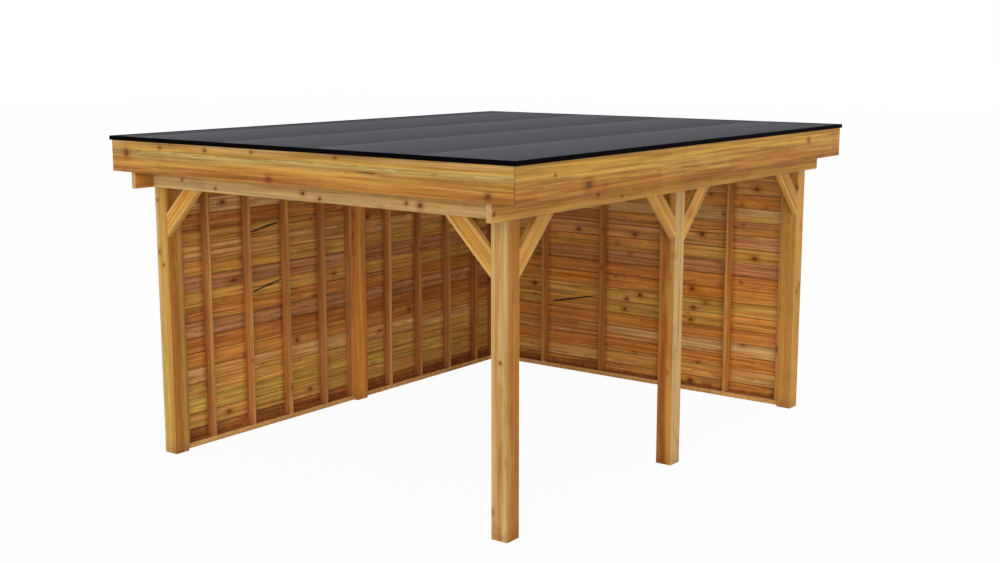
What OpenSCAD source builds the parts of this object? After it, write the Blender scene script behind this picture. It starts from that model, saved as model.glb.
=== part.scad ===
// Freestanding timber veranda with a flat roof: six posts, a ring of beams, boarded
// walls on the left and at the back, and two open sides with diagonal braces.
// Millimetres. X runs along the front, Y from the front to the back, Z up.
// The origin lies on the ground in the middle of the plan.

/* [Posts] */
// Width over the outer faces of the corner posts
frame_w = 3640; // [2800:10:4600]
// Depth over the outer faces of the corner posts
frame_d = 4640; // [3600:10:5800]
// Side of a square post
post = 140; // [115:1:200]
// Height of the beams' underside above the ground
head_h = 2270; // [1800:5:2800]

/* [Beams] */
// Thickness of a beam
beam_t = 45; // [30:1:70]
// Height of a beam
beam_h = 195; // [120:5:260]
// Depth of the seat that is cut into a post for a beam
seat = 21; // [5:1:28]

/* [Braces] */
// Thickness of a brace
brace_t = 45; // [30:1:70]
// Width of a brace, square to its length
brace_w = 140; // [80:1:200]
// Reach of a brace down its post and along its beam
brace_reach = 410; // [320:5:700]

/* [Walls] */
// From a post's outer face to the wall frame
wall_in = 35; // [25:1:45]
// Width of a stud, along the wall
stud_w = 45; // [30:1:70]
// Depth of the studs and rails, through the wall
stud_d = 70; // [40:1:75]
// Height of a wall's top and bottom rails
rail_h = 45; // [30:1:70]
// Thickness of the wall boarding
clad_t = 20; // [12:1:24]
// Gap between the ground and a wall
wall_gap = 5; // [0:1:30]
// Studs between the end studs of a side wall bay
side_studs = 4; // [1:1:7]
// Studs between the end studs of the back wall
back_studs = 4; // [1:1:9]

/* [Roof] */
// Thickness of a joist
joist_t = 45; // [30:1:70]
// Height of a joist
joist_h = 195; // [120:5:260]
// Number of joists
joist_n = 9; // [5:2:13]
// From the posts' outer faces to the fascia's outer face
eave = 230; // [80:5:400]
// Thickness of the fascia boards
fascia_t = 22; // [16:1:30]
// Height of the fascia boards
fascia_h = 255; // [200:5:320]
// Thickness of the roof deck
deck_t = 28; // [16:1:40]
// Overhang of the deck past the fascia
deck_lip = 11.5; // [5:0.5:30]
// Thickness of the roof felt
felt_t = 4; // [2:0.5:8]
// Thickness of the edge trim's sheet
trim_t = 2; // [1:0.5:4]
// Width of the edge trim's lip on the felt
trim_lip = 12; // [6:1:60]

/* [Hidden] */

// The four sides, counted anticlockwise from the front, seen from above
FRONT = 0;
RIGHT = 1;
BACK = 2;
LEFT = 3;

proud = beam_t - seat;                  // a beam's outer face past its posts
plate_z = head_h + beam_h;              // top of the beams and posts
deck_z = plate_z + joist_h;             // top of the joists and the fascia
felt_z = deck_z + deck_t;
trim_h = deck_t + felt_t + trim_t;
reach = eave - fascia_t;                // from the posts' outer faces to the fascia's back
deck_w = frame_w + 2 * (eave + deck_lip);
deck_d = frame_d + 2 * (eave + deck_lip);
seat_w = frame_w - 2 * seat;            // between the inner faces of the side beams
brace_root = brace_reach - brace_w * sqrt(2);

// Where bays start and end along a wall, measured from its middle
side_bay = [post / 2, frame_d / 2 - post];
back_bay = [-(frame_w / 2 - post), frame_w / 2 - post];

// Middles of the studs between the end studs
side_pitch = frame_d / 2 / (side_studs + 1);
back_pitch = frame_w / (back_studs + 1);
side_stud_x = [for (i = [1 : side_studs]) i * side_pitch];
back_stud_x = [for (i = [1 : back_studs]) i * back_pitch - frame_w / 2];

function backwards(bay) = [-bay[1], -bay[0]];
function negated(list) = [for (v = list) -v];

// Puts its children on one side of a rectangle w by d: their +X runs along that
// side, with 0 at its middle, and their +Y points inwards from it.
module on_side(side, w, d)
  rotate(90 * side)
    translate([0, -(side % 2 == 0 ? d : w) / 2, 0])
      children();

// A bar along a side, with both ends mitred
module mitred_bar(length, width, height)
  linear_extrude(height)
    polygon([[-length / 2, 0], [length / 2, 0],
             [length / 2 - width, width], [width - length / 2, width]]);

// --- Posts -----------------------------------------------------------------

// The wood that a beam's seat takes from the posts of one side
module seat_cut(side)
  on_side(side, frame_w, frame_d)
    translate([-frame_d, -1, head_h])
      cube([2 * frame_d, seat + 1, beam_h + 1]);

// A post in column i (-1 left, 1 right) and row j (-1 front, 0 middle, 1 back)
module post_at(i, j, sides)
  color("burlywood")
    difference() {
      translate([i * (frame_w - post) / 2 - post / 2, j * (frame_d - post) / 2 - post / 2, 0])
        cube([post, post, plate_z]);
      for (side = sides) seat_cut(side);
    }

module post_front_left() post_at(-1, -1, [FRONT, LEFT]);
module post_front_right() post_at(1, -1, [FRONT, RIGHT]);
module post_right_middle() post_at(1, 0, [RIGHT]);
module post_back_right() post_at(1, 1, [BACK, RIGHT]);
module post_left_middle() post_at(-1, 0, [LEFT]);
module post_back_left() post_at(-1, 1, [BACK, LEFT]);

// --- Beams -----------------------------------------------------------------

module beam_on(side, length, tone)
  color(tone)
    on_side(side, frame_w, frame_d)
      translate([-length / 2, -proud, head_h])
        cube([length, beam_t, beam_h]);

// The side beams run on to the fascias; the cross beams fit between them
module beam_left() beam_on(LEFT, frame_d + 2 * reach, "peru");
module beam_right() beam_on(RIGHT, frame_d + 2 * reach, "peru");
module beam_front() beam_on(FRONT, seat_w, "wheat");
module beam_back() beam_on(BACK, seat_w, "wheat");

// --- Braces ----------------------------------------------------------------

// A brace in the angle between a post's face at x and the beam above it,
// leaning towards +X (lean 1) or -X (lean -1)
module brace_at(side, x, lean)
  color("tan")
    on_side(side, frame_w, frame_d)
      translate([x, brace_t, head_h])
        mirror([lean < 0 ? 1 : 0, 0, 0])
          rotate([90, 0, 0])
            linear_extrude(brace_t)
              polygon([[0, -brace_reach], [brace_reach, 0], [brace_root, 0], [0, -brace_root]]);

module brace_front_left() brace_at(FRONT, post - frame_w / 2, 1);
module brace_front_right() brace_at(FRONT, frame_w / 2 - post, -1);
module brace_right_front() brace_at(RIGHT, post - frame_d / 2, 1);
module brace_right_mid_front() brace_at(RIGHT, -post / 2, -1);
module brace_right_mid_back() brace_at(RIGHT, post / 2, 1);
module brace_right_back() brace_at(RIGHT, frame_d / 2 - post, -1);

// --- Wall frames and boarding ----------------------------------------------

// A straight piece of a wall, from bay[0] to bay[1] along it
module wall_piece(side, bay, inset, thick, z, height)
  on_side(side, frame_w, frame_d)
    translate([bay[0], inset, z])
      cube([bay[1] - bay[0], thick, height]);

module bottom_rail(side, bay)
  color("sienna") wall_piece(side, bay, wall_in, stud_d, wall_gap, rail_h);

module top_rail(side, bay)
  color("sienna") wall_piece(side, bay, wall_in, stud_d, head_h - rail_h, rail_h);

// One stud against the post at each end of the bay, and the rest at their middles
module studs(side, bay, middles)
  color("sienna")
    for (x = concat([bay[0] + stud_w / 2, bay[1] - stud_w / 2], middles))
      wall_piece(side, [x - stud_w / 2, x + stud_w / 2], wall_in, stud_d,
                 wall_gap + rail_h, head_h - wall_gap - 2 * rail_h);

module cladding(side, bay)
  color("saddlebrown")
    wall_piece(side, bay, wall_in - clad_t, clad_t, wall_gap, head_h - wall_gap);

// Along the left side +X runs towards the front
module left_front_bottom_rail() bottom_rail(LEFT, side_bay);
module left_front_top_rail() top_rail(LEFT, side_bay);
module left_front_studs() studs(LEFT, side_bay, side_stud_x);
module cladding_left_front() cladding(LEFT, side_bay);

module left_back_bottom_rail() bottom_rail(LEFT, backwards(side_bay));
module left_back_top_rail() top_rail(LEFT, backwards(side_bay));
module left_back_studs() studs(LEFT, backwards(side_bay), negated(side_stud_x));
module cladding_left_back() cladding(LEFT, backwards(side_bay));

module back_bottom_rail() bottom_rail(BACK, back_bay);
module back_top_rail() top_rail(BACK, back_bay);
module back_studs() studs(BACK, back_bay, back_stud_x);
module cladding_back() cladding(BACK, back_bay);

// --- Roof ------------------------------------------------------------------

// The first and last joist lie against the front and back fascias
module roof_joists()
  color("tan")
    for (i = [0 : joist_n - 1])
      translate([-frame_w / 2 - reach,
                 -frame_d / 2 - reach + i * (frame_d + 2 * reach - joist_t) / (joist_n - 1),
                 plate_z])
        cube([frame_w + 2 * reach, joist_t, joist_h]);

module fascia_on(side, length)
  color("goldenrod")
    on_side(side, frame_w + 2 * eave, frame_d + 2 * eave)
      translate([0, 0, deck_z - fascia_h])
        mitred_bar(length, fascia_t, fascia_h);

module fascia_front() fascia_on(FRONT, frame_w + 2 * eave);
module fascia_right() fascia_on(RIGHT, frame_d + 2 * eave);
module fascia_back() fascia_on(BACK, frame_w + 2 * eave);
module fascia_left() fascia_on(LEFT, frame_d + 2 * eave);

module roof_deck()
  color("tan")
    translate([-deck_w / 2, -deck_d / 2, deck_z])
      cube([deck_w, deck_d, deck_t]);

module roof_felt()
  color("dimgray")
    translate([-deck_w / 2, -deck_d / 2, felt_z])
      cube([deck_w, deck_d, felt_t]);

// An angle over the deck's edge: a leg down its side and a lip on the felt
module trim_on(side, length)
  color("black")
    on_side(side, deck_w + 2 * trim_t, deck_d + 2 * trim_t)
      translate([0, 0, deck_z]) {
        mitred_bar(length, trim_t, trim_h);
        translate([0, 0, trim_h - trim_t])
          mitred_bar(length, trim_t + trim_lip, trim_t);
      }

module trim_front() trim_on(FRONT, deck_w + 2 * trim_t);
module trim_right() trim_on(RIGHT, deck_d + 2 * trim_t);
module trim_back() trim_on(BACK, deck_w + 2 * trim_t);
module trim_left() trim_on(LEFT, deck_d + 2 * trim_t);

post_front_left();
post_front_right();
post_right_middle();
post_back_right();
post_left_middle();
post_back_left();
beam_left();
beam_right();
beam_front();
beam_back();
brace_front_left();
brace_front_right();
brace_right_front();
brace_right_mid_front();
brace_right_mid_back();
brace_right_back();
left_front_bottom_rail();
left_front_top_rail();
left_front_studs();
left_back_bottom_rail();
left_back_top_rail();
left_back_studs();
back_bottom_rail();
back_top_rail();
back_studs();
cladding_left_front();
cladding_left_back();
cladding_back();
roof_joists();
fascia_front();
fascia_right();
fascia_back();
fascia_left();
roof_deck();
roof_felt();
trim_front();
trim_right();
trim_back();
trim_left();
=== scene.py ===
"""Looks of a freestanding flat-roofed veranda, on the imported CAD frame.

Every sawn timber is a rounded section carried along its length. Metres throughout; X runs to the
right, Y to the back, Z up. Each timber piece carries three layers that its finish reads:

grain  point vector: distance along the timber, then across and deep from the pith
tone   point value: one number per board, so neighbours differ
end    point value: 1 on sawn ends, 0 on faces
chart  UV map: metres along, and the face number plus the fraction across that face

Face numbers run round the section: 0 the +depth face, 1 the -across face, 2 the -depth face and
3 the +across face.
"""
import math
import zlib

import bpy
import numpy as np
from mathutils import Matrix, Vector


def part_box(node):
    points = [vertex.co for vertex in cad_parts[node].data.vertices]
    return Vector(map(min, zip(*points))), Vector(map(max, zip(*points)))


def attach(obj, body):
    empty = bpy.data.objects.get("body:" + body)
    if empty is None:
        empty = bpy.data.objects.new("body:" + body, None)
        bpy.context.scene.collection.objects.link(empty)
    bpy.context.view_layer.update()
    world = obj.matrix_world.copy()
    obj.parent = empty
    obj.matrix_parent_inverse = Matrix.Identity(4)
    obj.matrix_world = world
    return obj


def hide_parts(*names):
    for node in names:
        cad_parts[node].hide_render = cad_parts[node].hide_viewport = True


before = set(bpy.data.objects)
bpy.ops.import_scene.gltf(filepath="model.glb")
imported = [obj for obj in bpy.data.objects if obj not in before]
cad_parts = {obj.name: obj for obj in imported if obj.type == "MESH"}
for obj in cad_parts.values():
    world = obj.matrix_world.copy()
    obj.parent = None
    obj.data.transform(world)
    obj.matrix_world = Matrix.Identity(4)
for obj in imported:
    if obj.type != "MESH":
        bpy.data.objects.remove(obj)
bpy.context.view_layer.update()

# ---------------------------------------------------------------- sizes, in metres
ARRIS = 0.003          # radius of a planed timber's edges
BASE = np.array([1.42, 1.42, 1.24])     # how much brighter a base coat is than its finished look
MITRE_GAP = 0.0040      # open joint where two fascia boards meet
BOARD_ROW = 17         # wall boards in one height of wall
DECK_ROW = 34          # roof boards side by side
STUD_W = 0.045
SIDE_STUD_PITCH = 0.464
BACK_STUDS = (-1.092, -0.364, 0.364, 1.092)
LAPS = (1.200, 0.205, -0.790, -1.785)   # where a felt sheet's edge lies on the next one

# ---------------------------------------------------------------- stains, by name
STAIN = {
    "pearl": (199, 175, 133), "bone": (193, 165, 121), "cream": (190, 159, 111),
    "wheat": (188, 152, 101), "straw": (192, 155, 88), "honey": (183, 141, 80),
    "amber": (184, 137, 66), "gold": (188, 145, 72), "biscuit": (176, 135, 84),
    "ochre": (177, 128, 60), "tan": (171, 122, 63), "caramel": (166, 112, 53),
    "copper": (156, 100, 46), "russet": (142, 84, 38), "umber": (120, 76, 38),
    "peat": (92, 56, 28), "moss": (174, 148, 89), "olive": (160, 122, 58),
    "lime": (172, 140, 66), "rose": (160, 112, 74), "clay": (148, 100, 62),
    "plum": (128, 82, 50), "flame": (186, 116, 44), "sand": (180, 142, 92),
    "knot": (98, 54, 24), "resin": (190, 120, 58), "ink": (40, 24, 14),
    "shade": (152, 122, 94), "ring": (196, 158, 116),
}


def linear(rgb):
    """Eight-bit display colour to scene-linear: ((c + 0.055) / 1.055) ^ 2.4 for all but the darkest."""
    c = np.asarray(rgb, float) / 255
    return tuple(np.where(c <= 0.04045, c / 12.92, ((c + 0.055) / 1.055) ** 2.4)) + (1.0,)


def stain(name, lift=1.0):
    """A stain by name. Lift brightens it for a base coat that rings, streaks and shade will darken, and on
    timbers in shade it also holds painted light that makes up for that shade; a coat that would pass 0.95 is
    brought back with its hue kept."""
    rgb = np.array(linear(STAIN[name])[:3]) * lift
    return tuple(rgb * min(1.0, 0.95 / rgb.max())) + (1.0,)


def seeded(name):
    """A random source that depends only on the piece's name."""
    return np.random.default_rng(zlib.crc32(name.encode()))


# ================================================================ shapes
def board_section(across, depth, arris=ARRIS, steps=3):
    """Rectangle with quarter-circle corners: corner centre plus arris times (cos, sin) of the turn."""
    turn = np.linspace(0, math.pi / 2, steps + 1)
    quarter = np.arange(4)[:, None] * math.pi / 2 + turn[None, :]
    sign = np.array([(1, 1), (-1, 1), (-1, -1), (1, -1)])[:, None, :]
    middle = sign * (np.array([across, depth]) / 2 - arris)
    ring = np.stack([np.cos(quarter), np.sin(quarter)], -1) * arris
    return (middle + ring).reshape(-1, 2)


def face_rows(points, steps=3):
    """Chart row at both ends of every strip of a board section: whole faces run 0 to 1, arrises stay at 0."""
    per = steps + 1
    strip = np.arange(points)
    row = (strip // per).astype(float)
    flat = strip % per == steps
    return np.stack([row + 0.001, row + np.where(flat, 0.999, 0.001)], 1), flat


def carry(rings, origin, axes, rows, smooth, shift, pith, tone):
    """Skins a stack of equal rings: vertex = origin + along*l + across*a + depth*d, one quad per strip
    and station, with a flat cap at each end. rings is stations x points x (l, a, d)."""
    stations, points = rings.shape[:2]
    axes = np.asarray(axes, float)
    verts = np.asarray(origin, float) + rings.reshape(-1, 3) @ axes
    s = np.arange(stations - 1)[:, None] * points
    i = np.arange(points)[None, :]
    j = (i + 1) % points
    quads = np.stack([s + i, s + j, s + j + points, s + i + points], -1).reshape(-1, 4)
    first = np.arange(points)[::-1]
    last = (stations - 1) * points + np.arange(points)
    along = rings[..., 0].reshape(-1)[quads] + shift[0]
    side = np.tile(rows, (stations - 1, 1))
    chart = np.stack([along, side[:, [0, 1, 1, 0]]], -1)
    caps = [first, last]
    cap_chart = [rings.reshape(-1, 3)[c][:, 1:] + (0, 5) for c in caps]
    if np.linalg.det(axes) < 0:
        quads, chart = quads[:, ::-1], chart[:, ::-1]
        caps = [c[::-1] for c in caps]
        cap_chart = [c[::-1] for c in cap_chart]
    end = np.zeros((stations, points))
    end[[0, -1]] = 1
    return {
        "verts": verts,
        "faces": quads.tolist() + [c.tolist() for c in caps],
        "chart": np.concatenate([chart.reshape(-1, 2)] + cap_chart),
        "smooth": np.concatenate([np.tile(smooth, stations - 1), [False, False]]),
        "grain": rings.reshape(-1, 3) + np.asarray(shift) + (0, *pith),
        "tone": np.full(stations * points, tone),
        "end": end.reshape(-1),
    }


def inset(section, by):
    """The same section drawn in towards its middle by a small amount, for an eased end."""
    low, high = section.min(0), section.max(0)
    return (section - (low + high) / 2) * (1 - 2 * by / (high - low)) + (low + high) / 2


def station(section, along):
    """One ring: every point of the section at its own distance along."""
    along = np.broadcast_to(along, len(section))
    return np.column_stack([along, section])


def plain_run(section, half):
    """Square-cut length from -half to half, with a ring just inside each end that bounds the end grain."""
    return np.stack([station(section, a) for a in (-half, -half + 0.001, half - 0.001, half)])


def timber(rng, section, start, stop, origin, axes, ease=0.0015, arris_steps=3, tone=None):
    """A sawn length: eased end, body, eased end. start and stop are distances along the axis, one for
    each section point where the cut is slanted, otherwise a single number."""
    small = inset(section, ease)
    shrink = np.abs(section - small).sum(1).max()
    rings = np.stack([
        station(small, start), station(section, start + shrink),
        station(section, stop - shrink), station(small, stop)])
    rows, flat = face_rows(len(section), arris_steps)
    pith = rng.uniform((-0.05, -0.09), (0.05, -0.03))
    return carry(rings, origin, axes, rows, ~flat, (rng.uniform(0, 40), 0, 0), pith,
                 rng.uniform() if tone is None else tone)


def merge(shapes):
    """Many shapes as one: arrays end to end, face numbers moved on by the vertices before them."""
    out, base = {"faces": []}, 0
    for shape in shapes:
        out["faces"] += [[v + base for v in face] for face in shape["faces"]]
        base += len(shape["verts"])
    for key in ("verts", "chart", "smooth", "grain", "tone", "end"):
        out[key] = np.concatenate([shape[key] for shape in shapes])
    return out


def piece(name, shape, finish, nodes=()):
    """Puts a shape into a mesh object at the origin, with its layers, and hands it to the frame."""
    mesh = bpy.data.meshes.new(name)
    mesh.from_pydata(shape["verts"].tolist(), [], shape["faces"])
    mesh.polygons.foreach_set("use_smooth", shape["smooth"].astype(bool))
    chart = mesh.uv_layers.new(name="chart")
    chart.data.foreach_set("uv", np.asarray(shape["chart"], np.float32).reshape(-1))
    grain = mesh.attributes.new("grain", "FLOAT_VECTOR", "POINT")
    grain.data.foreach_set("vector", np.asarray(shape["grain"], np.float32).reshape(-1))
    for key in ("tone", "end"):
        layer = mesh.attributes.new(key, "FLOAT", "POINT")
        layer.data.foreach_set("value", np.asarray(shape[key], np.float32))
    mesh.materials.append(finish)
    mesh.update()
    made = bpy.data.objects.new(name, mesh)
    bpy.context.scene.collection.objects.link(made)
    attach(made, "root")
    if nodes:
        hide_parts(*nodes)
    return made


def extent(node):
    low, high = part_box(node)
    return np.array(low), np.array(high)


X, Y, Z = np.eye(3)


def straight(rng, low, high, run, **more):
    """A squared timber filling the box low..high, running along axis number run. Its across axis is the
    next of X, Y, Z in turn and its depth axis the one after."""
    order = [run, (run + 1) % 3, (run + 2) % 3]
    size = (high - low)[order]
    section = board_section(size[1], size[2], min(ARRIS, size[1:].min() / 4))
    return timber(rng, section, -size[0] / 2, size[0] / 2, (low + high) / 2, np.eye(3)[order], **more)


# ================================================================ node helpers
class Net:
    """Short calls for laying nodes in a tree. A value may be a socket, a number, a tuple or a colour."""

    def __init__(self, tree):
        self.tree = tree

    def add(self, kind, **settings):
        made = self.tree.nodes.new("ShaderNode" + kind)
        for key, value in settings.items():
            setattr(made, key, value)
        return made

    def feed(self, socket, value):
        if isinstance(value, bpy.types.NodeSocket):
            self.tree.links.new(value, socket)
        elif value is not None:
            socket.default_value = value

    def math(self, operation, *values, clamp=False):
        made = self.add("Math", operation=operation, use_clamp=clamp)
        for socket, value in zip(made.inputs, values):
            self.feed(socket, value)
        return made.outputs[0]

    def vector(self, operation, *values, out=0):
        made = self.add("VectorMath", operation=operation)
        sockets = list(made.inputs)
        if operation == "SCALE":
            sockets = [made.inputs[0], made.inputs["Scale"]]
        for socket, value in zip(sockets, values):
            self.feed(socket, value)
        return made.outputs[out]

    def noise(self, place, scale, detail=3.0, rough=0.5, colour=False, twist=0.0):
        made = self.add("TexNoise")
        for key, value in (("Vector", place), ("Scale", scale), ("Detail", detail),
                           ("Roughness", rough), ("Distortion", twist)):
            self.feed(made.inputs[key], value)
        return made.outputs["Color" if colour else "Fac"]

    def span(self, value, low, high, to_low=0.0, to_high=1.0, smooth=True):
        made = self.add("MapRange", interpolation_type="SMOOTHSTEP" if smooth else "LINEAR")
        for socket, given in zip(made.inputs, (value, low, high, to_low, to_high)):
            self.feed(socket, given)
        return made.outputs[0]

    def mix(self, amount, first, second, blend="MIX"):
        made = self.add("Mix", data_type="RGBA", blend_type=blend, clamp_factor=True)
        self.feed(made.inputs[0], amount)
        self.feed(made.inputs[6], first)
        self.feed(made.inputs[7], second)
        return made.outputs[2]

    def ramp(self, value, stops, kind="LINEAR"):
        made = self.add("ValToRGB")
        self.feed(made.inputs[0], value)
        ramp = made.color_ramp
        ramp.interpolation = kind
        while len(ramp.elements) < len(stops):
            ramp.elements.new(0.5)
        for element, (place, colour) in zip(ramp.elements, stops):
            element.position = place
        for element, (place, colour) in zip(ramp.elements, stops):
            element.color = colour
        return made.outputs[0]

    def split(self, vector):
        made = self.add("SeparateXYZ")
        self.feed(made.inputs[0], vector)
        return made.outputs

    def join(self, x, y, z):
        made = self.add("CombineXYZ")
        for socket, value in zip(made.inputs, (x, y, z)):
            self.feed(socket, value)
        return made.outputs[0]

    def layer(self, name, out="Fac"):
        return self.add("Attribute", attribute_name=name).outputs[out]

    def object_place(self):
        return self.add("TexCoord").outputs["Object"]

    def group(self, tree, **values):
        made = self.add("Group", node_tree=tree)
        for key, value in values.items():
            self.feed(made.inputs[key.replace("_", " ")], value)
        return made.outputs


def effect(name, takes, gives):
    """An empty node group with named sockets. takes and gives map a socket name to its kind."""
    tree = bpy.data.node_groups.new(name, "ShaderNodeTree")
    for side, sockets in (("INPUT", takes), ("OUTPUT", gives)):
        for label, kind in sockets.items():
            tree.interface.new_socket(label, in_out=side, socket_type="NodeSocket" + kind)
    net = Net(tree)
    start = tree.nodes.new("NodeGroupInput")
    stop = tree.nodes.new("NodeGroupOutput")
    return tree, net, start.outputs, stop.inputs


# ================================================================ shared effects
def figure_effect():
    """Growth rings, fibre and slow streaks of softwood. The ring count is the distance from the pith over
    the ring pitch, bent by slow noise; late wood darkens towards the end of each ring and stops short."""
    tree, net, take, give = effect(
        "Wood figure", {"Grain": "Vector", "Pitch": "Float", "Knots": "Float"},
        {"Rings": "Float", "Fibre": "Float", "Streak": "Float", "Mottle": "Float", "Height": "Float"})
    slow = net.vector("MULTIPLY", take["Grain"], (0.55, 5.0, 5.0))
    sway = net.vector("SUBTRACT", net.noise(slow, 1.0, 2.0, colour=True), (0.5, 0.5, 0.5))
    bent = net.vector("ADD", take["Grain"], net.vector("MULTIPLY", sway, (0.0, 0.07, 0.07)))
    x, y, z = net.split(bent)
    radius = net.math("SQRT", net.math("ADD", net.math("MULTIPLY", y, y), net.math("MULTIPLY", z, z)))
    swirl = net.math("MULTIPLY", take["Knots"], 0.011)
    count = net.math("DIVIDE", net.math("ADD", radius, swirl), take["Pitch"])
    ring = net.math("FRACT", count)
    late = net.math("MULTIPLY", net.math("POWER", ring, 2.6), net.span(ring, 1.0, 0.9))
    fibre = net.noise(net.vector("MULTIPLY", take["Grain"], (7.0, 620.0, 620.0)), 1.0, 2.0, 0.6)
    streak = net.noise(net.vector("MULTIPLY", take["Grain"], (0.9, 42.0, 42.0)), 1.0, 4.0, 0.62)
    mottle = net.noise(net.vector("MULTIPLY", take["Grain"], (3.2, 11.0, 11.0)), 1.0, 3.0, 0.55)
    net.feed(give["Rings"], net.math("MULTIPLY", late, 1.35))
    net.feed(give["Fibre"], fibre)
    net.feed(give["Streak"], streak)
    net.feed(give["Mottle"], mottle)
    height = net.math("ADD", net.math("MULTIPLY", late, 0.6), net.math("MULTIPLY", fibre, 0.4))
    net.feed(give["Height"], height)
    return tree


def branch_effect():
    """Scattered knots: balls round random cell centres in the solid timber, kept only in some cells, so a
    face that cuts one shows a round or oval knot. Core is the knot itself, Halo the grain pushed aside."""
    tree, net, take, give = effect(
        "Branches", {"Grain": "Vector", "Density": "Float"}, {"Core": "Float", "Halo": "Float"})
    cells = net.add("TexVoronoi", voronoi_dimensions="3D", feature="F1")
    net.feed(cells.inputs["Vector"], net.vector("MULTIPLY", take["Grain"], (5.2, 7.6, 7.6)))
    cells.inputs["Scale"].default_value = 1.0
    luck, size, _ = net.split(cells.outputs["Color"])
    keep = net.math("LESS_THAN", luck, take["Density"])
    reach = net.span(size, 0.0, 1.0, 0.035, 0.13, smooth=False)
    rough = net.noise(take["Grain"], 60.0, 2.0)
    near = net.math("DIVIDE", cells.outputs["Distance"], reach)
    near = net.math("ADD", near, net.math("MULTIPLY", net.math("SUBTRACT", rough, 0.5), 0.5))
    net.feed(give["Core"], net.math("MULTIPLY", net.span(near, 1.1, 0.75), keep))
    net.feed(give["Halo"], net.math("MULTIPLY", net.span(near, 3.6, 0.9), keep))
    return tree


def spot_effect():
    """One knot at a known place: the distance from its centre, measured in its own radii, under 1."""
    tree, net, take, give = effect(
        "Single knot", {"Place": "Vector", "Centre": "Vector", "Radii": "Vector"},
        {"Core": "Float", "Halo": "Float"})
    away = net.vector("DIVIDE", net.vector("SUBTRACT", take["Place"], take["Centre"]), take["Radii"])
    far = net.vector("LENGTH", away, out="Value")
    rough = net.noise(take["Place"], 55.0, 2.0)
    far = net.math("ADD", far, net.math("MULTIPLY", net.math("SUBTRACT", rough, 0.5), 0.7))
    net.feed(give["Core"], net.span(far, 1.15, 0.6))
    net.feed(give["Halo"], net.span(far, 3.0, 0.9))
    return tree


def shake_effect():
    """One drying shake: the distance from a point to the straight line between two ends, less than the
    line's half width. The nearest point is the start plus the clamped share of the run to the end."""
    tree, net, take, give = effect(
        "Shake", {"Place": "Vector", "Start": "Vector", "Finish": "Vector", "Width": "Float"},
        {"Line": "Float", "Above": "Float"})
    run = net.vector("SUBTRACT", take["Finish"], take["Start"])
    gone = net.vector("SUBTRACT", take["Place"], take["Start"])
    length = net.vector("DOT_PRODUCT", run, run, out="Value")
    share = net.math("DIVIDE", net.vector("DOT_PRODUCT", gone, run, out="Value"), length, clamp=True)
    nearest = net.vector("ADD", take["Start"], net.vector("SCALE", run, share))
    off = net.vector("SUBTRACT", take["Place"], nearest)
    far = net.vector("LENGTH", off, out="Value")
    wobble = net.math("MULTIPLY", net.math("SUBTRACT", net.noise(take["Place"], 14.0, 3.0), 0.5), 0.012)
    far = net.math("ABSOLUTE", net.math("ADD", far, wobble))
    taper = net.span(net.math("ABSOLUTE", net.math("SUBTRACT", share, 0.5)), 0.5, 0.3)
    width = net.math("MULTIPLY", take["Width"], net.math("ADD", taper, 0.25))
    net.feed(give["Line"], net.span(far, width, net.math("MULTIPLY", width, 0.35)))
    # Above: a pale band just over the crack, a painted highlight on the crack's upper lip.
    rise = net.split(off)[2]
    glow = net.math("MULTIPLY", net.span(rise, 0.0, 0.008), net.span(far, 0.06, 0.01))
    net.feed(give["Above"], net.math("MULTIPLY", glow, taper))
    return tree


def slat_effect():
    """One glued-in length of another tone: inside a box when the offset from its middle, over the box's
    half size, stays under 1 on every axis."""
    tree, net, take, give = effect(
        "Slat", {"Place": "Vector", "Middle": "Vector", "Half": "Vector"}, {"Inside": "Float"})
    away = net.vector("ABSOLUTE", net.vector("SUBTRACT", take["Place"], take["Middle"]))
    x, y, z = net.split(net.vector("DIVIDE", away, take["Half"]))
    most = net.math("MAXIMUM", x, net.math("MAXIMUM", y, z))
    net.feed(give["Inside"], net.span(most, 1.0, 0.985))
    return tree


def weather_effect():
    """Where a timber has been handled and rained on: rubbed arrises from the chart row, splash grime that
    fades in the first decimetre above the ground, and soft cloudy soiling."""
    tree, net, take, give = effect(
        "Weathering", {"Row": "Float", "Place": "Vector"},
        {"Arris": "Float", "Splash": "Float", "Cloud": "Float"})
    part = net.math("FRACT", take["Row"])
    edge = net.math("ABSOLUTE", net.math("SUBTRACT", part, 0.5))
    chips = net.noise(take["Place"], 38.0, 4.0, 0.65)
    worn = net.math("MULTIPLY", net.span(edge, 0.475, 0.5), net.span(chips, 0.35, 0.65))
    up = net.split(take["Place"])[2]
    cloud = net.noise(take["Place"], 2.3, 4.0, 0.6)
    splash = net.math("MULTIPLY", net.span(up, 0.16, 0.0), net.span(chips, 0.3, 0.62))
    net.feed(give["Arris"], worn)
    net.feed(give["Splash"], splash)
    net.feed(give["Cloud"], cloud)
    return tree


FIGURE = figure_effect()
BRANCHES = branch_effect()
SPOT = spot_effect()
SHAKE = shake_effect()
SLAT = slat_effect()
WEATHER = weather_effect()


# ================================================================ finishes
def blank(name):
    """A new material with its Principled shader, and a net on its tree."""
    made = bpy.data.materials.new(name)
    made.use_nodes = True
    made.node_tree.nodes.clear()
    net = Net(made.node_tree)
    shader = net.add("BsdfPrincipled")
    out = net.add("OutputMaterial")
    net.feed(out.inputs["Surface"], shader.outputs[0])
    return made, net, shader


def bump(net, shader, height, distance, strength=0.6):
    made = net.add("Bump")
    made.inputs["Strength"].default_value = strength
    made.inputs["Distance"].default_value = distance
    net.feed(made.inputs["Height"], height)
    net.feed(shader.inputs["Normal"], made.outputs[0])


def face_stops(faces, lift):
    """Ramp stops for up to four faces in a row: each face's stains spread evenly over its quarter."""
    stops = []
    for number, names in enumerate(faces):
        names = names.split()
        for at, name in zip(np.linspace(0.02, 0.98, max(len(names), 2)), names * (1 + (len(names) < 2))):
            stops.append(((number + float(at)) / 4, stain(name, BASE * lift)))
    return stops


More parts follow.
